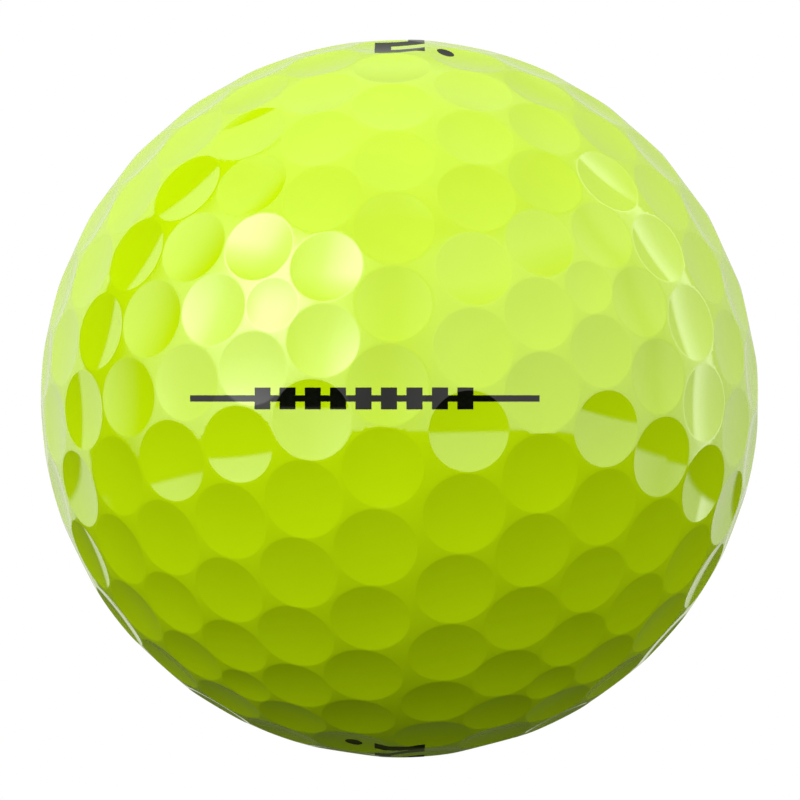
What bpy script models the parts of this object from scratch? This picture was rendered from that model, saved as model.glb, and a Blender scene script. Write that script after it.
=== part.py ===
"""A two-piece golf ball: a solid rubber core, a dimpled cover moulded in two halves, and its printed marks.

Metres, +Z up, with the origin at the ball's centre. Run it with blender --background --python part.py,
or from Blender's text editor.

The cover is laid out in the mould's own frame: the mould's pole is local +Z, its parting plane is local
Z = 0, and the second half is the first one turned half round about local X. Each half has a pole, five
ring corners round it, and 33 dimples in each of the five sectors between the corners.
"""

import math

import bmesh
import bpy
import numpy as np
from mathutils import Matrix, Vector, geometry

# Ball
BALL_DIAMETER = 0.04267
COVER_THICKNESS = 0.0017
CORE_CLEARANCE = 0.0003
SEAM_GAP = 0.00004

# How the mould's frame lies in the part's frame. The pole points to +X, a little back and down.
MOULD_YAW = math.radians(4.23)
MOULD_PITCH = math.radians(3.20)
MOULD_SPIN = math.radians(-106.44)

# Dimples: six sizes, as shares of the largest, the narrowest land between two rims, and the land
# between a rim and the flat face at the seam. The sizes follow from these lands.
SIZE_RATIOS = {"A": 1.000, "B": 0.980, "C": 0.950, "D": 0.908, "E": 0.873, "F": 0.650}
NARROWEST_LAND = 0.00003
SEAM_LAND = 0.00004
EDGE_ANGLE = math.radians(12.0)

# The size at each place of one sector, starting on a corner's meridian: the cap's rows from the pole
# down to the ring, then the two belt rows
SECTORS = 5
POLE_SIZE = "F"
CAP_ROWS = ("E", "CA", "CBB", "CCBC", "EDBBD", "FEDCDE")
BELT_ROWS = ("ECCCCE", "DCCBCC")
BELT_LATITUDES = (math.radians(16.4), math.radians(6.0))
RING_LATITUDE = math.radians(23.35)
CORNER_MERIDIAN = math.radians(-3.0)

# Settling of the pattern, which evens out the land between neighbours
SETTLE_ROUNDS = 400
SETTLE_GAIN = 0.02
CROWDING_WEIGHT = 15.0
NEIGHBOUR_REACH = 0.86

# Facets
RIM_POINTS = 8
BOWL_RING = 0.56
SEAM_POINTS = 60
MERIDIANS = 32
SMOOTH_ANGLE = math.radians(30)

# Printed marks: a film of ink that follows the dimples
INK_THICKNESS = 0.00005
INK_CLEARANCE = 0.00002
STRIP_START = math.radians(-32.0)
STRIP_END = math.radians(20.5)
STRIP_HEIGHT = 0.00116
RAIL_HEIGHT = 0.00034
BAR_COUNT = 9
BAR_PITCH = 0.00135
BAR_WIDTH = 0.00085
DIGIT_WIDTH = 0.0029
DIGIT_HEIGHT = 0.0052
DIGIT_STROKE = 0.00095
DIGIT_EDGE = 0.0075
DOT_DIAMETER = 0.0010
DOT_GAP = 0.0007

BALL_RADIUS = BALL_DIAMETER / 2


def clear_scene():
    for thing in list(bpy.data.objects):
        bpy.data.objects.remove(thing, do_unlink=True)


def material(name, colour, roughness, metallic=0.0):
    made = bpy.data.materials.new(name)
    made.use_nodes = True
    shader = made.node_tree.nodes["Principled BSDF"]
    shader.inputs["Base Color"].default_value = (*colour, 1.0)
    shader.inputs["Roughness"].default_value = roughness
    shader.inputs["Metallic"].default_value = metallic
    return made


def mesh_from(build, name):
    """A mesh made by a function that fills a bmesh."""
    shape = bmesh.new()
    build(shape)
    mesh = bpy.data.meshes.new(name)
    shape.to_mesh(mesh)
    shape.free()
    mesh.shade_smooth()
    mesh.set_sharp_from_angle(angle=SMOOTH_ANGLE)
    return mesh


def placed(name, mesh, skin, parent=None, rotation=None):
    """An object in the scene that shows the mesh with this material."""
    thing = bpy.data.objects.new(name, mesh)
    bpy.context.collection.objects.link(thing)
    thing.parent = parent
    if rotation:
        thing.matrix_local = rotation
    if skin:
        thing.data.materials.clear()
        thing.data.materials.append(skin)
    return thing


# ---- The dimple pattern, as unit vectors in the mould's frame ----


def direction(latitude, longitude):
    across = math.cos(latitude)
    return np.array(
        (across * math.cos(longitude), across * math.sin(longitude), math.sin(latitude))
    )


def along_arc(first, second, share):
    """The point this share of the way along the great circle between two directions."""
    angle = math.acos(float(np.clip(first @ second, -1, 1)))
    if angle < 1e-9:
        return first
    before = math.sin((1 - share) * angle) * first
    return (before + math.sin(share * angle) * second) / math.sin(angle)


def half_pattern():
    """Every dimple of one half: its direction and its size letter, before the pattern settles."""
    pole = np.array((0.0, 0.0, 1.0))
    places = [(pole, POLE_SIZE)]
    sector = math.tau / SECTORS
    rows = len(CAP_ROWS)
    for number in range(SECTORS):
        start = CORNER_MERIDIAN + number * sector
        left = direction(RING_LATITUDE, start)
        right = direction(RING_LATITUDE, start + sector)
        for row, sizes in enumerate(CAP_ROWS, 1):
            from_side = along_arc(pole, left, row / rows)
            to_side = along_arc(pole, right, row / rows)
            for step, size in enumerate(sizes):
                places.append((along_arc(from_side, to_side, step / row), size))
        for row, (sizes, latitude) in enumerate(zip(BELT_ROWS, BELT_LATITUDES)):
            pitch = sector / len(sizes)
            shift = pitch / 2 if row == 0 else 0.0
            for step, size in enumerate(sizes):
                places.append((direction(latitude, start + shift + step * pitch), size))
    return np.array([place for place, _ in places]), [size for _, size in places]


def turned_half_round(points):
    """The other half's places: half a turn about the mould frame's X axis."""
    return points * np.array((1.0, -1.0, -1.0))


def settled(half, ratios):
    """One half's directions after neighbours have pushed each other to even lands, and the angular
    radius of its largest dimple, which leaves the narrowest land and the seam's land free."""
    share = np.concatenate((ratios, ratios))
    land = NARROWEST_LAND / BALL_RADIUS
    seam_land = (SEAM_GAP / 2 + SEAM_LAND) / BALL_RADIUS
    points = np.vstack((half, turned_half_round(half)))
    apart = np.arccos(np.clip(points @ points.T, -1, 1))
    nearest = (apart + 4 * np.eye(len(points))).min()
    reach = NEIGHBOUR_REACH * nearest * (share[:, None] + share[None, :])
    one, other = np.nonzero((apart < reach) & (apart > 0.5 * nearest))
    summed = share[one] + share[other]
    for _ in range(SETTLE_ROUNDS):
        cosine = (points[one] * points[other]).sum(axis=1)
        gaps = np.arccos(np.clip(cosine, -1, 1)) - land
        largest = (gaps / summed).min()
        slack = gaps - largest * summed
        slack -= slack.mean()
        pull = np.where(slack < 0, CROWDING_WEIGHT * slack, slack)
        toward = points[other] - cosine[:, None] * points[one]
        toward /= np.linalg.norm(toward, axis=1)[:, None]
        moves = np.zeros_like(points)
        np.add.at(moves, one, SETTLE_GAIN * pull[:, None] * toward)
        half = clear_of_the_seam((points + moves)[: len(half)], largest * ratios + seam_land)
        points = np.vstack((half, turned_half_round(half)))
    gaps = np.arccos(np.clip((points[one] * points[other]).sum(axis=1), -1, 1)) - land
    by_neighbours = (gaps / summed).min()
    by_seam = ((np.arcsin(half[:, 2]) - seam_land) / ratios).min()
    return half, float(min(by_neighbours, by_seam))


def clear_of_the_seam(points, lowest):
    """The points as unit vectors, with any that lies below its lowest latitude raised to it."""
    points = points / np.linalg.norm(points, axis=1)[:, None]
    height = np.maximum(points[:, 2], np.sin(lowest))
    across = np.sqrt((1 - height**2) / np.maximum(1 - points[:, 2] ** 2, 1e-12))
    across[height == points[:, 2]] = 1.0
    return np.column_stack((points[:, 0] * across, points[:, 1] * across, height))


def dimples():
    """(direction, angular radius) of every dimple of one half."""
    half, letters = half_pattern()
    ratios = np.array([SIZE_RATIOS[letter] for letter in letters])
    directions, largest = settled(half, ratios)
    return [(Vector(way), largest * ratio) for way, ratio in zip(directions, ratios)]


# ---- Surfaces of the cover ----


def circle_about(centre, angle, count):
    """Unit vectors at this angle from the centre direction, counter-clockwise seen from outside."""
    side = centre.orthogonal().normalized()
    up = centre.cross(side)
    turns = [math.tau * (number + 0.5) / count for number in range(count)]
    return [
        math.cos(angle) * centre + math.sin(angle) * (math.cos(turn) * side + math.sin(turn) * up)
        for turn in turns
    ]


def bowl_depth(radius, share, edge_slope):
    """How far a spherical bowl lies under its rim's plane at this share of the rim's radius."""
    sphere = radius / math.sin(edge_slope)
    return math.sqrt(sphere**2 - (share * radius) ** 2) - math.sqrt(sphere**2 - radius**2)


def add_bowl(shape, rim, centre, angle):
    """Fills one rim with a spherical bowl: a ring part way in, and a middle point."""
    radius = BALL_RADIUS * math.sin(angle)
    plane = BALL_RADIUS * math.cos(angle)
    slope = EDGE_ANGLE - angle
    ring_depth = bowl_depth(radius, BOWL_RING, slope)
    ring = []
    for corner in rim:
        outward = corner.co - plane * centre
        ring.append(shape.verts.new((plane - ring_depth) * centre + BOWL_RING * outward))
    middle = shape.verts.new((plane - bowl_depth(radius, 0.0, slope)) * centre)
    for number in range(len(rim)):
        after = (number + 1) % len(rim)
        shape.faces.new((rim[number], rim[after], ring[after], ring[number]))
        shape.faces.new((ring[number], ring[after], middle))


def flattened(point):
    """Stereographic projection from the lower pole, which keeps circles round."""
    unit = point.normalized()
    return Vector((unit.x, unit.y)) / (1 + unit.z)


def add_skin(shape, pattern, seam_height):
    """The outer surface of one half, down to a seam at this height, and its seam corners."""
    seam_radius = math.sqrt(BALL_RADIUS**2 - seam_height**2)
    corners = []
    outlines = []
    for number in range(SEAM_POINTS):
        turn = math.tau * number / SEAM_POINTS
        place = (seam_radius * math.cos(turn), seam_radius * math.sin(turn), seam_height)
        corners.append(shape.verts.new(place))
    outlines.append(list(range(SEAM_POINTS)))
    for centre, angle in pattern:
        first = len(corners)
        for way in circle_about(centre, angle, RIM_POINTS):
            corners.append(shape.verts.new(BALL_RADIUS * way))
        outlines.append(list(range(first, len(corners))))
    edges = [pair for line in outlines for pair in zip(line, line[1:] + line[:1])]
    flat = [flattened(corner.co) for corner in corners]
    rim_of = {corner: number for number, line in enumerate(outlines) for corner in line}
    found = geometry.delaunay_2d_cdt(flat, edges, [], 0, 1e-9, True)
    source = [origins[0] for origins in found[3]]
    for face in found[2]:
        places = [source[index] for index in face]
        rims = {rim_of[place] for place in places}
        if len(rims) > 1:
            shape.faces.new([corners[place] for place in places])
    for (centre, angle), line in zip(pattern, outlines[1:]):
        add_bowl(shape, [corners[place] for place in line], centre, angle)
    return corners[:SEAM_POINTS]


def add_dome(shape, radius, seam_height):
    """A half sphere facing inwards, down to the seam's height, and its edge loop."""
    rings = MERIDIANS // 4
    lowest = math.asin(seam_height / radius)
    loops = []
    for level in range(rings):
        latitude = lowest + (math.pi / 2 - lowest) * level / rings
        loops.append(
            [
                shape.verts.new(radius * Vector(direction(latitude, math.tau * step / MERIDIANS)))
                for step in range(MERIDIANS)
            ]
        )
    top = shape.verts.new((0.0, 0.0, radius))
    for lower, upper in zip(loops, loops[1:]):
        for step in range(MERIDIANS):
            after = (step + 1) % MERIDIANS
            shape.faces.new((lower[after], lower[step], upper[step], upper[after]))
    for step in range(MERIDIANS):
        shape.faces.new((loops[-1][(step + 1) % MERIDIANS], loops[-1][step], top))
    return loops[0]


def loop_edges(shape, loop):
    return [shape.edges.get(pair) for pair in zip(loop, loop[1:] + loop[:1])]


def half_cover(shape, pattern):
    """One moulded half: dimpled outside, smooth inside, flat where it meets the other half."""
    seam_height = SEAM_GAP / 2
    outer = add_skin(shape, pattern, seam_height)
    inner = add_dome(shape, BALL_RADIUS - COVER_THICKNESS, seam_height)
    edges = loop_edges(shape, outer) + loop_edges(shape, inner)
    bmesh.ops.triangle_fill(shape, edges=edges, use_beauty=True, normal=(0.0, 0.0, -1.0))
    bmesh.ops.recalc_face_normals(shape, faces=shape.faces)


def whole_skin(shape, pattern, radius):
    """The outside of both halves as one closed surface, grown to this radius."""
    add_skin(shape, pattern, 0.0)
    first = shape.faces[:] + shape.edges[:] + shape.verts[:]
    copy = bmesh.ops.duplicate(shape, geom=first)
    moved = [part for part in copy["geom"] if isinstance(part, bmesh.types.BMVert)]
    bmesh.ops.rotate(shape, verts=moved, cent=(0, 0, 0), matrix=Matrix.Rotation(math.pi, 3, "X"))
    bmesh.ops.remove_doubles(shape, verts=shape.verts, dist=1e-7)
    bmesh.ops.scale(shape, verts=shape.verts, vec=[radius / BALL_RADIUS] * 3)
    bmesh.ops.recalc_face_normals(shape, faces=shape.faces)


def core_ball(shape):
    """The core, with the same meridians and rings as the cover's inside, so that its gap is even."""
    radius = BALL_RADIUS - COVER_THICKNESS - CORE_CLEARANCE
    bmesh.ops.create_uvsphere(shape, u_segments=MERIDIANS, v_segments=MERIDIANS // 2, radius=radius)


# ---- Printed marks ----


def extruded(shape, outline, lift):
    """A closed prism over an outline of points, extruded along a vector."""
    face = shape.faces.new([shape.verts.new(point) for point in outline])
    grown = bmesh.ops.extrude_face_region(shape, geom=[face])
    moved = [part for part in grown["geom"] if isinstance(part, bmesh.types.BMVert)]
    bmesh.ops.translate(shape, verts=moved, vec=lift)
    bmesh.ops.triangulate(shape, faces=shape.faces)
    bmesh.ops.recalc_face_normals(shape, faces=shape.faces)


def strip_outline():
    """An alignment strip: a thin rail with a row of plain upright bars across its middle."""
    left = BALL_RADIUS * math.sin(STRIP_START)
    right = BALL_RADIUS * math.sin(STRIP_END)
    middle = (left + right) / 2
    upper = [(left, RAIL_HEIGHT / 2)]
    for number in range(BAR_COUNT):
        centre = middle + (number - (BAR_COUNT - 1) / 2) * BAR_PITCH
        start, end = centre - BAR_WIDTH / 2, centre + BAR_WIDTH / 2
        upper.append((start, RAIL_HEIGHT / 2))
        upper.append((start, STRIP_HEIGHT / 2))
        upper.append((end, STRIP_HEIGHT / 2))
        upper.append((end, RAIL_HEIGHT / 2))
    upper.append((right, RAIL_HEIGHT / 2))
    lower = [(across, -height) for across, height in reversed(upper)]
    return [Vector((across, 0.0, height)) for across, height in upper + lower]


def digit_outline():
    """A block figure 2 that stands with its foot towards -Y."""
    wide, tall, stroke = DIGIT_WIDTH, DIGIT_HEIGHT, DIGIT_STROKE
    low, high = (tall - stroke) / 2, (tall + stroke) / 2
    points = [(0, 0), (wide, 0), (wide, stroke), (stroke, stroke), (stroke, low), (wide, low)]
    points += [(wide, tall), (0, tall), (0, tall - stroke), (wide - stroke, tall - stroke)]
    points += [(wide - stroke, high), (0, high)]
    return [Vector((x - wide / 2, y - DIGIT_EDGE, 0.0)) for x, y in points]


def dot_outline():
    """The full stop beside the figure's foot."""
    across = DIGIT_WIDTH / 2 + DOT_GAP + DOT_DIAMETER / 2
    along = DOT_DIAMETER / 2 - DIGIT_EDGE
    turns = [math.tau * number / 16 for number in range(16)]
    return [
        Vector((across, along, 0.0))
        + DOT_DIAMETER / 2 * Vector((math.cos(turn), math.sin(turn), 0.0))
        for turn in turns
    ]


def guide(name, mesh, parent):
    """A helper surface that only the Booleans use."""
    helper = placed(name, mesh, None, parent)
    helper.hide_render = True
    helper.display_type = "WIRE"
    return helper


def cut(thing, operation, cutter):
    step = thing.modifiers.new(operation.lower(), "BOOLEAN")
    step.operation = operation
    step.object = cutter
    step.solver = "EXACT"


def printed(name, outline, lift, turn, ink, under, over):
    """A film of ink: the outline's prism, kept only between the two guide surfaces."""
    mesh = mesh_from(lambda shape: extruded(shape, outline, lift), name)
    film = placed(name, mesh, ink, rotation=turn)
    cut(film, "INTERSECT", over)
    cut(film, "DIFFERENCE", under)
    return film


def main():
    clear_scene()
    pattern = dimples()

    mould = bpy.data.objects.new("mould_frame", None)
    bpy.context.collection.objects.link(mould)
    pole_to_side = Matrix.Rotation(math.pi / 2, 4, "Y")
    spin = Matrix.Rotation(MOULD_SPIN, 4, "X")
    pitch = Matrix.Rotation(MOULD_PITCH, 4, "Y")
    yaw = Matrix.Rotation(MOULD_YAW, 4, "Z")
    mould.matrix_world = yaw @ pitch @ spin @ pole_to_side

    cover_skin = material("cover_yellow_green", (0.60, 0.86, 0.03), 0.16)
    rubber = material("core_rubber", (0.055, 0.10, 0.16), 0.62)
    ink = material("print_black", (0.012, 0.012, 0.012), 0.30)

    placed("core", mesh_from(core_ball, "core"), rubber, mould)
    half = mesh_from(lambda shape: half_cover(shape, pattern), "cover_half")
    placed("cover_half_a", half, cover_skin, mould)
    placed("cover_half_b", half, cover_skin, mould, Matrix.Rotation(math.pi, 4, "X"))

    inner = BALL_RADIUS + INK_CLEARANCE
    outer = inner + INK_THICKNESS
    under_mesh = mesh_from(lambda shape: whole_skin(shape, pattern, inner), "ink_under")
    over_mesh = mesh_from(lambda shape: whole_skin(shape, pattern, outer), "ink_over")
    under = guide("guide_ink_under", under_mesh, mould)
    over = guide("guide_ink_over", over_mesh, mould)

    reach = 2 * BALL_RADIUS
    front, up = Vector((0, -reach, 0)), Vector((0, 0, reach))
    to_back = Matrix.Rotation(math.pi, 4, "Z")
    upside_down = Matrix.Rotation(math.pi, 4, "Y")
    printed("alignment_strip_front", strip_outline(), front, None, ink, under, over)
    printed("alignment_strip_back", strip_outline(), front, to_back, ink, under, over)
    printed("play_number_top", digit_outline(), up, None, ink, under, over)
    printed("play_number_bottom", digit_outline(), up, upside_down, ink, under, over)
    printed("number_dot_top", dot_outline(), up, None, ink, under, over)
    printed("number_dot_bottom", dot_outline(), up, upside_down, ink, under, over)


main()
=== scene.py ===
"""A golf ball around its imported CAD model: fine dimpled cover skins, printed marks, core, light and camera.

Metres, +Z up, in the CAD's own frame. Every dimple's place, width and depth are read from the CAD halves,
so the fine skins are the same ball with round rims, rounded edges and spherical bowls.
"""

import math

import bmesh
import bpy
import numpy as np
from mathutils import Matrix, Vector, geometry


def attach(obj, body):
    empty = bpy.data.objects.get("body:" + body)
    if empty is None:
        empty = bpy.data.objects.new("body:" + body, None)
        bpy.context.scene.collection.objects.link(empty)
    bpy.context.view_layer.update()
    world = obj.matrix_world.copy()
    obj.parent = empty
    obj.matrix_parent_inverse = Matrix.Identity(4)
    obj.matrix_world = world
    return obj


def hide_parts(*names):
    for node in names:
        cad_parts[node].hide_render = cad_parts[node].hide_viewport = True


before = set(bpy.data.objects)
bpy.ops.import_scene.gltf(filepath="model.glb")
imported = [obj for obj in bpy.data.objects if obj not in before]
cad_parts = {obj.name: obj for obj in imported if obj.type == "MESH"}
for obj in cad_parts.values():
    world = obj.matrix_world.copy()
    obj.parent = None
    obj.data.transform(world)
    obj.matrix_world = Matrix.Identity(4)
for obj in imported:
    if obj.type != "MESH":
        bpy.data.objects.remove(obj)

# Cover skins
EDGE_ROUNDING = 0.000009  # half the depth over which the lacquer rounds a dimple's edge
RIM_SEGMENTS = 48
EDGE_RINGS = (1.0, 2 / 3, 1 / 3, 0.0)  # rings over the rounded edge, as shares of its width
BOWL_RINGS = (0.82, 0.60, 0.36, 0.15)  # rings in the bowl, as shares of its radius
SEAM_SEGMENTS = 240
DOME_RINGS = 12
LAND_RINGS = ((0.00010, 48, 0.00008), (0.00028, 24, 0.00016))  # distance from a rim, count, spacing

# Printed marks
INK_ABOVE = 0.000012
INK_BELOW = 0.000010
INK_GRID = 0.00012
INK_PASSES = 5

# Shading
COVER_SHARP = math.radians(50)
INK_SHARP = math.radians(40)
FACES_OUT = 0.5  # cosine above which an ink face looks away from the ball's centre
NOISE_LOW = 0.35  # the middle of a noise texture, which is stretched to the whole range
NOISE_HIGH = 0.65

# Camera and stage
CAMERA_DISTANCE = 0.1792
LENS = 134.7
SHIFT = (0.00043, -0.0020)
STAGE_SIZE = 6.0
BACKDROP_SIDES = 48

# Studio: pairs of degrees and brightness. Azimuth 0 is the camera's side and 90 the right, elevation 0 is
# level. The lists started from the light that the coat reflects in the photo, worked back from it, and were
# then rounded and tuned.
WALLS = (
    (-180, 0.65),
    (-156, 0.75),
    (-118, 1.4),
    (-117, 0.0),
    (-99, 0.0),
    (-94, 0.6),
    (-84, 2.0),
    (-76, 2.4),
    (-16, 2.5),
    (-8, 2.0),
    (-4, 1.6),
    (1, 1.6),
    (12, 2.3),
    (30, 2.5),
    (82, 2.4),
    (90, 1.6),
    (96, 1.9),
    (108, 2.3),
    (115, 3.6),
    (116.5, 3.6),
    (117.5, 1.25),
    (156, 0.65),
    (180, 0.65),
)
CEILING = ((50, 1.15), (58, 1.25), (70, 1.5))
WALL_TOP = ((43, 0.0), (52, 1.0))
GAP_TOP = ((-118, 0.0), (-117, 16.0), (-108, 12.0), (-98, 4.0), (-88, 0.0))  # how much higher the gap reaches
KEY_ACROSS = ((-76, 0.0), (-68, 0.15), (-60, 0.7), (-50, 1.0), (-38, 1.0), (-32, 0.7), (-25, 0.2), (-14, 0.0))
KEY_UP = ((-12, 0.05), (4, 0.2), (12, 0.4), (20, 0.8), (27, 1.0), (41, 1.0), (46, 0.4), (52, 0.0))
KEY_STRENGTH = 7.6
TABLE_EDGE = -0.172  # height of the table's edge as a direction, in front
TABLE_EDGE_SIDE = 0.055  # how it rises towards the sides
TABLE_EDGE_FAR = -0.100  # and falls again beside and behind the ball
TABLE_EDGE_FAR_POWER = 3.0
TABLE_EDGE_BLUR = 0.010
BACK_SHEEN = 0.07  # the far part of the table, which catches a little light
BACK_SHEEN_POWER = 5.0
TABLE_GLOW = (0.065, 0.088, 0.002)  # what a dark table gives back of the ball's own colour


# ---- The dimples, read from the CAD halves ----


def welded(mesh):
    """A mesh's distinct points and, for each, the numbers of its neighbours."""
    places = np.zeros(len(mesh.vertices) * 3, np.float32)
    mesh.vertices.foreach_get("co", places)
    points, number = np.unique(places.reshape(-1, 3), axis=0, return_inverse=True)
    number = number.ravel()
    beside = [set() for _ in points]
    for edge in mesh.edges:
        one, other = (int(number[corner]) for corner in edge.vertices)
        if one != other:
            beside[one].add(other)
            beside[other].add(one)
    return points.astype(float), beside


def read_dimples(node, ball_radius):
    """(centre direction, angular radius, edge slope) of each dimple in a CAD half."""
    points, beside = welded(node.data)
    heights = np.linalg.norm(points, axis=1)
    found = []
    for middle, around in enumerate(beside):
        lowest = min(heights[near] for near in around)
        if not ball_radius - 0.001 < heights[middle] < lowest - 1e-7:
            continue
        rim = {far for near in around for far in beside[near] if heights[far] > ball_radius - 1e-6}
        if len(rim) < 6:
            continue
        centre = points[middle] / heights[middle]
        cosines = [points[corner] @ centre / heights[corner] for corner in rim]
        angle = math.acos(sum(cosines) / len(cosines))
        depth = ball_radius * math.cos(angle) - heights[middle]
        slope = 2 * math.atan(depth / (ball_radius * math.sin(angle)))
        found.append((centre, angle, slope))
    return found


halves = [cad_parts[name] for name in ("cover_half_a", "cover_half_b")]
BALL_RADIUS = max(vertex.co.length for vertex in halves[0].data.vertices)
INNER_RADIUS = min(vertex.co.length for vertex in halves[0].data.vertices)
own_dimples = [read_dimples(node, BALL_RADIUS) for node in halves]
all_dimples = own_dimples[0] + own_dimples[1]


# ---- The cover's true surface ----


def surface(ways):
    """Radius and outward normal of the finished cover in each direction."""
    depth = np.zeros(len(ways))
    climb = np.zeros((len(ways), 3))
    for centre, angle, slope in all_dimples:
        rim_radius = BALL_RADIUS * math.sin(angle)
        bowl_radius = rim_radius / math.sin(slope)
        bowl_centre = BALL_RADIUS * math.cos(angle) + rim_radius / math.tan(slope)
        spread = 1.5 * EDGE_ROUNDING / (BALL_RADIUS * math.tan(slope + angle))
        cosine = ways @ centre
        near = np.nonzero(cosine > math.cos(angle + spread))[0]
        if not len(near):
            continue
        cosine = np.minimum(cosine[near], 1.0)
        sine = np.sqrt(np.maximum(1 - cosine**2, 1e-18))
        root = np.sqrt(bowl_radius**2 - (bowl_centre * sine) ** 2)
        under = BALL_RADIUS - (bowl_centre * cosine - root)
        fall = bowl_centre * sine - bowl_centre**2 * sine * cosine / root
        blend = np.clip((under + EDGE_ROUNDING) / (2 * EDGE_ROUNDING), 0, 1)
        rounded = (under + EDGE_ROUNDING) ** 2 / (4 * EDGE_ROUNDING)
        rounded = np.where(under >= EDGE_ROUNDING, under, rounded)
        depth[near] += np.where(under <= -EDGE_ROUNDING, 0.0, rounded)
        away = (cosine[:, None] * ways[near] - centre) / sine[:, None]
        climb[near] += (blend * fall)[:, None] * away
    radius = BALL_RADIUS - depth
    normal = ways + climb / radius[:, None]
    return radius, normal / np.linalg.norm(normal, axis=1)[:, None]


def axes_about(pole):
    """Two unit vectors square to a direction and to each other."""
    side = np.array(Vector(pole).orthogonal().normalized())
    return side, np.cross(pole, side)


def circle(centre, angle, count, offset=0.0):
    """Unit vectors at this angle from a direction, counter-clockwise seen from outside."""
    side, up = axes_about(centre)
    around = (np.arange(count) + offset) * math.tau / count
    ring = np.cos(around)[:, None] * side + np.sin(around)[:, None] * up
    return math.cos(angle) * centre + math.sin(angle) * ring


def land_points(dimples, pole):
    """Free points on the land round the rims, kept clear of every rim, the seam and each other."""
    centres = np.array([centre for centre, _, _ in all_dimples])
    angles = np.array([angle for _, angle, _ in all_dimples])
    kept = np.zeros((0, 3))
    for distance, count, spacing in LAND_RINGS:
        for centre, angle, _ in dimples:
            ring = circle(centre, angle + distance / BALL_RADIUS, count, 0.5)
            apart = np.arccos(np.clip(ring @ centres.T, -1, 1)) - angles
            clear = apart.min(axis=1) > 0.9 * distance / BALL_RADIUS
            clear &= ring @ pole > spacing / BALL_RADIUS
            for way in ring[clear]:
                if not len(kept) or (kept @ way).max() < math.cos(spacing / BALL_RADIUS):
                    kept = np.vstack((kept, way))
    return kept


def cover_skin(name, dimples, pole, seam, seam_height):
    """One half of the cover as a closed shell with the fine dimpled surface outside."""
    side, up = axes_about(pole)
    ways = [seam]
    loops = [list(range(len(seam)))]
    total = len(seam)
    for centre, angle, _ in dimples:
        ways.append(circle(centre, angle, RIM_SEGMENTS))
        loops.append(list(range(total, total + RIM_SEGMENTS)))
        total += RIM_SEGMENTS
    ways.append(land_points(dimples, pole))
    land = np.vstack(ways)
    flat = np.column_stack((land @ side, land @ up)) / (1 + land @ pole)[:, None]
    edges = [pair for loop in loops for pair in zip(loop, loop[1:] + loop[:1])]
    found = geometry.delaunay_2d_cdt([Vector(place) for place in flat], edges, [], 0, 1e-10, True)
    source = [origins[0] for origins in found[3]]
    loop_of = np.full(len(land), -1)
    for number, loop in enumerate(loops):
        loop_of[loop] = number
    faces = []
    for face in found[2]:
        corners = [source[index] for index in face]
        rims = {int(loop_of[corner]) for corner in corners}
        if len(rims) > 1 or rims == {-1}:
            faces.append(corners)
    total = len(land)
    for (centre, angle, slope), rim in zip(dimples, loops[1:]):
        rounding = EDGE_ROUNDING / (BALL_RADIUS * math.tan(slope + angle))
        inside = [angle - (1 - share) * rounding for share in EDGE_RINGS[1:]]
        inside += [share * (angle - rounding) for share in BOWL_RINGS]
        outer = rim
        for ring_angle in inside:
            ways.append(circle(centre, ring_angle, RIM_SEGMENTS))
            inner = list(range(total, total + RIM_SEGMENTS))
            total += RIM_SEGMENTS
            for one, two in zip(range(-1, RIM_SEGMENTS - 1), range(RIM_SEGMENTS)):
                faces.append([outer[one], outer[two], inner[two], inner[one]])
            outer = inner
        ways.append(centre[None, :])
        for one, two in zip(range(-1, RIM_SEGMENTS - 1), range(RIM_SEGMENTS)):
            faces.append([outer[one], outer[two], total])
        total += 1
    outside = np.vstack(ways)
    radius, normals = surface(outside)
    points = [outside * radius[:, None]]
    outer_faces = len(faces)

    lowest = math.asin(seam_height / INNER_RADIUS)
    around = seam - (seam @ pole)[:, None] * pole
    above = list(range(len(seam)))
    for level in range(DOME_RINGS):
        latitude = lowest + (math.pi / 2 - lowest) * level / DOME_RINGS
        points.append(INNER_RADIUS * (math.cos(latitude) * around + math.sin(latitude) * pole))
        below = above
        above = list(range(total, total + len(seam)))
        total += len(seam)
        for one in range(len(seam)):
            two = (one + 1) % len(seam)
            faces.append([below[two], below[one], above[one], above[two]])
    points.append(INNER_RADIUS * pole[None, :])
    for one in range(len(seam)):
        faces.append([above[(one + 1) % len(seam)], above[one], total])

    mesh = bpy.data.meshes.new(name)
    mesh.from_pydata(np.vstack(points).tolist(), [], faces)
    mesh.shade_smooth()
    mesh.set_sharp_from_angle(angle=COVER_SHARP)
    lean_on(mesh, normals, outer_faces)
    return mesh


def lean_on(mesh, normals, outer_faces):
    """Gives the first faces the true surface's normals at their corners, and leaves the rest as they are."""
    corners = np.zeros(len(mesh.loops), np.int32)
    mesh.loops.foreach_get("vertex_index", corners)
    last = mesh.polygons[outer_faces - 1]
    count = last.loop_start + last.loop_total
    wanted = np.zeros((len(corners), 3))
    wanted[:count] = normals[corners[:count]]
    mesh.normals_split_custom_set(wanted.tolist())


def shown(name, mesh, skin, node):
    """A finished piece in the scene, which rides on the ball and stands for a CAD node."""
    piece = bpy.data.objects.new(name, mesh)
    bpy.context.scene.collection.objects.link(piece)
    mesh.materials.clear()
    mesh.materials.append(skin)
    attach(piece, "root")
    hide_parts(node)
    return piece


# ---- Printed marks ----


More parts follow.
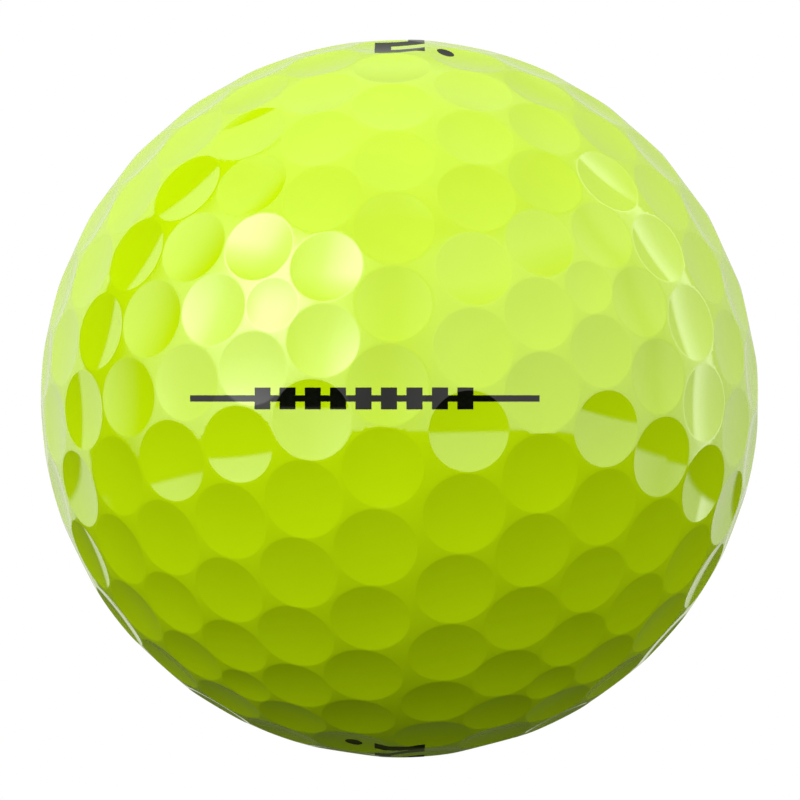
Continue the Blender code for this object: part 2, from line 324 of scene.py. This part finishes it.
def ink_film(name, node):
    """A CAD ink mark as a much thinner film on the true surface of the cover."""
    shape = bmesh.new()
    shape.from_mesh(node.data)
    bmesh.ops.remove_doubles(shape, verts=shape.verts, dist=1e-7)
    bmesh.ops.dissolve_degenerate(shape, edges=shape.edges, dist=1e-7)
    lift = shape.verts.layers.float.new("lift")
    shape.normal_update()
    for face in shape.faces:
        if face.normal.dot(face.calc_center_median().normalized()) > FACES_OUT:
            for vertex in face.verts:
                vertex[lift] = 1.0
    for _ in range(INK_PASSES):
        long = [edge for edge in shape.edges if edge.calc_length() > INK_GRID]
        if not long:
            break
        bmesh.ops.subdivide_edges(shape, edges=long, cuts=1)
        bmesh.ops.triangulate(shape, faces=shape.faces, ngon_method="BEAUTY")
    shape.verts.ensure_lookup_table()
    ways = np.array([vertex.co.normalized() for vertex in shape.verts])
    lifts = np.array([vertex[lift] for vertex in shape.verts])
    radius, normals = surface(ways)
    radius += lifts * (INK_ABOVE + INK_BELOW) - INK_BELOW
    for vertex, way, distance in zip(shape.verts, ways, radius):
        vertex.co = Vector(way * distance)
    shape.verts.layers.float.remove(lift)
    mesh = bpy.data.meshes.new(name)
    shape.to_mesh(mesh)
    shape.free()
    mesh.shade_smooth()
    mesh.set_sharp_from_angle(angle=INK_SHARP)
    wanted = []
    for face in mesh.polygons:
        on_top = all(lifts[corner] > 0.999 for corner in face.vertices)
        for corner in face.vertices:
            wanted.append(normals[corner].tolist() if on_top else (0.0, 0.0, 0.0))
    mesh.normals_split_custom_set(wanted)
    return mesh


# ---- Materials ----


def new_material(name):
    made = bpy.data.materials.new(name)
    made.use_nodes = True
    return made, made.node_tree, made.node_tree.nodes["Principled BSDF"]


def noise(tree, where, scale, detail):
    texture = tree.nodes.new("ShaderNodeTexNoise")
    texture.inputs["Scale"].default_value = scale
    texture.inputs["Detail"].default_value = detail
    tree.links.new(where.outputs["Object"], texture.inputs["Vector"])
    return texture


def ramp(tree, source, low, high):
    """A number from low to high over the middle of a noise texture's range."""
    step = tree.nodes.new("ShaderNodeMapRange")
    step.inputs["From Min"].default_value = NOISE_LOW
    step.inputs["From Max"].default_value = NOISE_HIGH
    step.inputs["To Min"].default_value = low
    step.inputs["To Max"].default_value = high
    tree.links.new(source, step.inputs["Value"])
    return step.outputs["Result"]


def mixed(tree, share, first, second):
    step = tree.nodes.new("ShaderNodeMix")
    step.data_type = "RGBA"
    step.inputs["A"].default_value = (*first, 1.0)
    step.inputs["B"].default_value = (*second, 1.0)
    tree.links.new(share, step.inputs["Factor"])
    return step.outputs["Result"]


def bumped(tree, shader, height, strength, distance):
    bump = tree.nodes.new("ShaderNodeBump")
    bump.inputs["Strength"].default_value = strength
    bump.inputs["Distance"].default_value = distance
    tree.links.new(height, bump.inputs["Height"])
    tree.links.new(bump.outputs["Normal"], shader.inputs["Normal"])


def cover_material():
    made, tree, shader = new_material("cover_lacquered_ionomer")
    where = tree.nodes.new("ShaderNodeTexCoord")
    mottle = noise(tree, where, 260, 3)
    grain = noise(tree, where, 2400, 1)
    share = ramp(tree, mottle.outputs["Fac"], 0.0, 1.0)
    colour = mixed(tree, share, (0.279, 0.402, 0.0006), (0.287, 0.413, 0.0010))
    tree.links.new(colour, shader.inputs["Base Color"])
    tree.links.new(ramp(tree, grain.outputs["Fac"], 0.40, 0.52), shader.inputs["Roughness"])
    shader.inputs["Specular IOR Level"].default_value = 0.0
    shader.inputs["Coat Weight"].default_value = 1.0
    shader.inputs["Coat Roughness"].default_value = 0.03
    shader.inputs["Coat IOR"].default_value = 1.5
    bumped(tree, shader, grain.outputs["Fac"], 0.05, 0.00002)
    return made


def ink_material():
    made, tree, shader = new_material("printed_ink_under_lacquer")
    where = tree.nodes.new("ShaderNodeTexCoord")
    speckle = noise(tree, where, 5200, 3)
    share = ramp(tree, speckle.outputs["Fac"], 0.0, 1.0)
    colour = mixed(tree, share, (0.0008, 0.0009, 0.0008), (0.0022, 0.0024, 0.0022))
    tree.links.new(colour, shader.inputs["Base Color"])
    tree.links.new(ramp(tree, speckle.outputs["Fac"], 0.32, 0.48), shader.inputs["Roughness"])
    shader.inputs["Specular IOR Level"].default_value = 0.0
    shader.inputs["Coat Weight"].default_value = 0.45
    shader.inputs["Coat Roughness"].default_value = 0.03
    shader.inputs["Coat IOR"].default_value = 1.5
    bumped(tree, shader, speckle.outputs["Fac"], 0.12, 0.00001)
    return made


def core_material():
    made, tree, shader = new_material("core_moulded_rubber")
    where = tree.nodes.new("ShaderNodeTexCoord")
    cloud = noise(tree, where, 140, 5)
    specks = noise(tree, where, 1800, 3)
    share = ramp(tree, cloud.outputs["Fac"], 0.0, 1.0)
    colour = mixed(tree, share, (0.045, 0.085, 0.14), (0.065, 0.115, 0.175))
    tree.links.new(colour, shader.inputs["Base Color"])
    tree.links.new(ramp(tree, specks.outputs["Fac"], 0.55, 0.75), shader.inputs["Roughness"])
    bumped(tree, shader, specks.outputs["Fac"], 0.4, 0.00004)
    return made


def plain_white(name):
    """A floor or backdrop that shows pure white."""
    made = bpy.data.materials.new(name)
    made.use_nodes = True
    tree = made.node_tree
    tree.nodes.clear()
    light = tree.nodes.new("ShaderNodeEmission")
    light.inputs["Color"].default_value = (1.0, 1.0, 1.0, 1.0)
    light.inputs["Strength"].default_value = 1.0
    out = tree.nodes.new("ShaderNodeOutputMaterial")
    tree.links.new(light.outputs["Emission"], out.inputs["Surface"])
    return made


# ---- Light, stage and camera ----


def maths(tree, operation, first, second=None, third=None):
    step = tree.nodes.new("ShaderNodeMath")
    step.operation = operation
    for socket, value in zip(step.inputs, (first, second, third)):
        if value is None:
            continue
        if isinstance(value, (int, float)):
            socket.default_value = value
        else:
            tree.links.new(value, socket)
    return step.outputs["Value"]


def soft_steps(tree, source, stops, peak):
    """A number that follows the stops, which are pairs of a place from 0 to 1 and a value up to the peak."""
    ramp_node = tree.nodes.new("ShaderNodeValToRGB")
    ramp_stops = ramp_node.color_ramp.elements
    while len(ramp_stops) > 1:
        ramp_stops.remove(ramp_stops[-1])
    for number, (place, value) in enumerate(stops):
        stop = ramp_stops[0] if number == 0 else ramp_stops.new(place)
        stop.position = place
        grey = value / peak
        stop.color = (grey, grey, grey, 1.0)
    tree.links.new(source, ramp_node.inputs["Fac"])
    return maths(tree, "MULTIPLY", ramp_node.outputs["Color"], peak)


def turns(stops):
    """Azimuth stops in degrees as shares of a turn, from straight behind round past the left."""
    return [((degrees + 180) / 360, value) for degrees, value in stops]


def rises(stops):
    """Elevation stops in degrees as shares of the way from straight down to straight up."""
    return [((degrees + 90) / 180, value) for degrees, value in stops]


def studio_world():
    """Soft white surroundings above the table's edge and dark ones below it."""
    world = bpy.data.worlds.new("studio")
    bpy.context.scene.world = world
    world.use_nodes = True
    tree = world.node_tree
    tree.nodes.clear()
    where = tree.nodes.new("ShaderNodeTexCoord")
    split = tree.nodes.new("ShaderNodeSeparateXYZ")
    tree.links.new(where.outputs["Generated"], split.inputs["Vector"])
    across, depth, height = split.outputs["X"], split.outputs["Y"], split.outputs["Z"]
    front = maths(tree, "MULTIPLY", depth, -1.0)
    turn = maths(tree, "ARCTAN2", across, front)
    turn = maths(tree, "MULTIPLY_ADD", turn, 1 / math.tau, 0.5)
    rise = maths(tree, "MULTIPLY_ADD", maths(tree, "ARCSINE", height), 1 / math.pi, 0.5)

    walls = soft_steps(tree, turn, turns(WALLS), 4.0)
    ceiling = soft_steps(tree, rise, rises(CEILING), 2.0)
    gap = soft_steps(tree, turn, turns(GAP_TOP), 20.0)
    lowered = maths(tree, "MULTIPLY_ADD", gap, -1 / 180, rise)
    share = soft_steps(tree, lowered, rises(WALL_TOP), 1.0)
    glow = maths(
        tree,
        "MULTIPLY",
        soft_steps(tree, turn, turns(KEY_ACROSS), 1.0),
        soft_steps(tree, rise, rises(KEY_UP), 1.0),
    )
    room = maths(tree, "MULTIPLY_ADD", maths(tree, "SUBTRACT", ceiling, walls), share, walls)
    room = maths(tree, "MULTIPLY_ADD", glow, KEY_STRENGTH, room)

    squared = maths(tree, "MULTIPLY", across, across)
    squared = maths(tree, "MAXIMUM", squared, maths(tree, "GREATER_THAN", depth, 0.0))
    edge = maths(tree, "MULTIPLY_ADD", squared, TABLE_EDGE_SIDE, TABLE_EDGE)
    far = maths(tree, "POWER", squared, TABLE_EDGE_FAR_POWER)
    edge = maths(tree, "MULTIPLY_ADD", far, TABLE_EDGE_FAR, edge)
    step = tree.nodes.new("ShaderNodeMapRange")
    step.interpolation_type = "SMOOTHSTEP"
    step.inputs["From Min"].default_value = -TABLE_EDGE_BLUR
    step.inputs["From Max"].default_value = TABLE_EDGE_BLUR
    step.inputs["To Min"].default_value = 0.0
    step.inputs["To Max"].default_value = 1.0
    tree.links.new(maths(tree, "SUBTRACT", height, edge), step.inputs["Value"])
    behind = maths(tree, "POWER", maths(tree, "MAXIMUM", depth, 0.0), BACK_SHEEN_POWER)
    strength = maths(tree, "MULTIPLY", step.outputs["Result"], room)
    strength = maths(tree, "MULTIPLY_ADD", behind, BACK_SHEEN, strength)
    light = tree.nodes.new("ShaderNodeBackground")
    light.inputs["Color"].default_value = (1.0, 1.0, 1.0, 1.0)
    tree.links.new(strength, light.inputs["Strength"])
    glow_below = tree.nodes.new("ShaderNodeBackground")
    glow_below.inputs["Color"].default_value = (*TABLE_GLOW, 1.0)
    both = tree.nodes.new("ShaderNodeAddShader")
    tree.links.new(light.outputs["Background"], both.inputs[0])
    tree.links.new(glow_below.outputs["Background"], both.inputs[1])
    out = tree.nodes.new("ShaderNodeOutputWorld")
    tree.links.new(both.outputs["Shader"], out.inputs["Surface"])


def stage_sheet(name, corners, faces):
    """A plain white sheet that only the camera sees, so it neither lights the ball nor shows in it."""
    mesh = bpy.data.meshes.new(name)
    mesh.from_pydata(corners, [], faces)
    mesh.materials.append(plain_white(name))
    sheet = bpy.data.objects.new(name, mesh)
    bpy.context.scene.collection.objects.link(sheet)
    sheet.visible_diffuse = False
    sheet.visible_glossy = False
    sheet.visible_transmission = False
    sheet.visible_shadow = False


def stage():
    """A floor under the ball, and a round backdrop with a lid."""
    wide, low, sides = STAGE_SIZE, -BALL_RADIUS, BACKDROP_SIDES
    square = [(-wide, -wide, low), (wide, -wide, low), (wide, wide, low), (-wide, wide, low)]
    stage_sheet("floor", square, [[0, 1, 2, 3]])
    ring = [(math.cos(turn), math.sin(turn)) for turn in np.arange(sides) * math.tau / sides]
    corners = [(wide * x, wide * y, z) for z in (low, wide) for x, y in ring]
    corners.append((0.0, 0.0, wide))
    faces = [[n, (n + 1) % sides, sides + (n + 1) % sides, sides + n] for n in range(sides)]
    faces += [[sides + n, sides + (n + 1) % sides, 2 * sides] for n in range(sides)]
    stage_sheet("backdrop", corners, faces)


def camera():
    made = bpy.data.cameras.new("camera")
    made.lens = LENS
    made.sensor_width = 36.0
    made.shift_x, made.shift_y = SHIFT
    made.clip_start = 0.01
    made.clip_end = 50.0
    thing = bpy.data.objects.new("camera", made)
    thing.location = (0.0, -CAMERA_DISTANCE, 0.0)
    thing.rotation_euler = (math.radians(90), 0.0, 0.0)
    bpy.context.scene.collection.objects.link(thing)
    bpy.context.scene.camera = thing


def main():
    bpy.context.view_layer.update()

    summed = [sum(centre for centre, _, _ in dimples) for dimples in own_dimples]
    pole = (summed[0] - summed[1]) / np.linalg.norm(summed[0] - summed[1])
    seam_height = min(abs(vertex.co @ Vector(pole)) for vertex in halves[0].data.vertices)
    seam = circle(pole, math.pi / 2, SEAM_SEGMENTS)
    lacquer = cover_material()
    names = ("cover_skin_a", "cover_skin_b")
    sides = ((pole, seam), (-pole, seam[::-1]))
    for name, node, dimples, (way, loop) in zip(names, halves, own_dimples, sides):
        mesh = cover_skin(name, dimples, way, loop, seam_height)
        shown(name, mesh, lacquer, node.name)

    ink = ink_material()
    marks = sorted(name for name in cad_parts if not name.startswith(("cover", "core")))
    for name in marks:
        shown(f"{name}_ink", ink_film(name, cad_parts[name]), ink, name)

    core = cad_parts["core"]
    core.data.materials.clear()
    core.data.materials.append(core_material())

    studio_world()
    stage()
    camera()
    bpy.context.scene.view_settings.view_transform = "Standard"
    bpy.context.view_layer.update()


main()
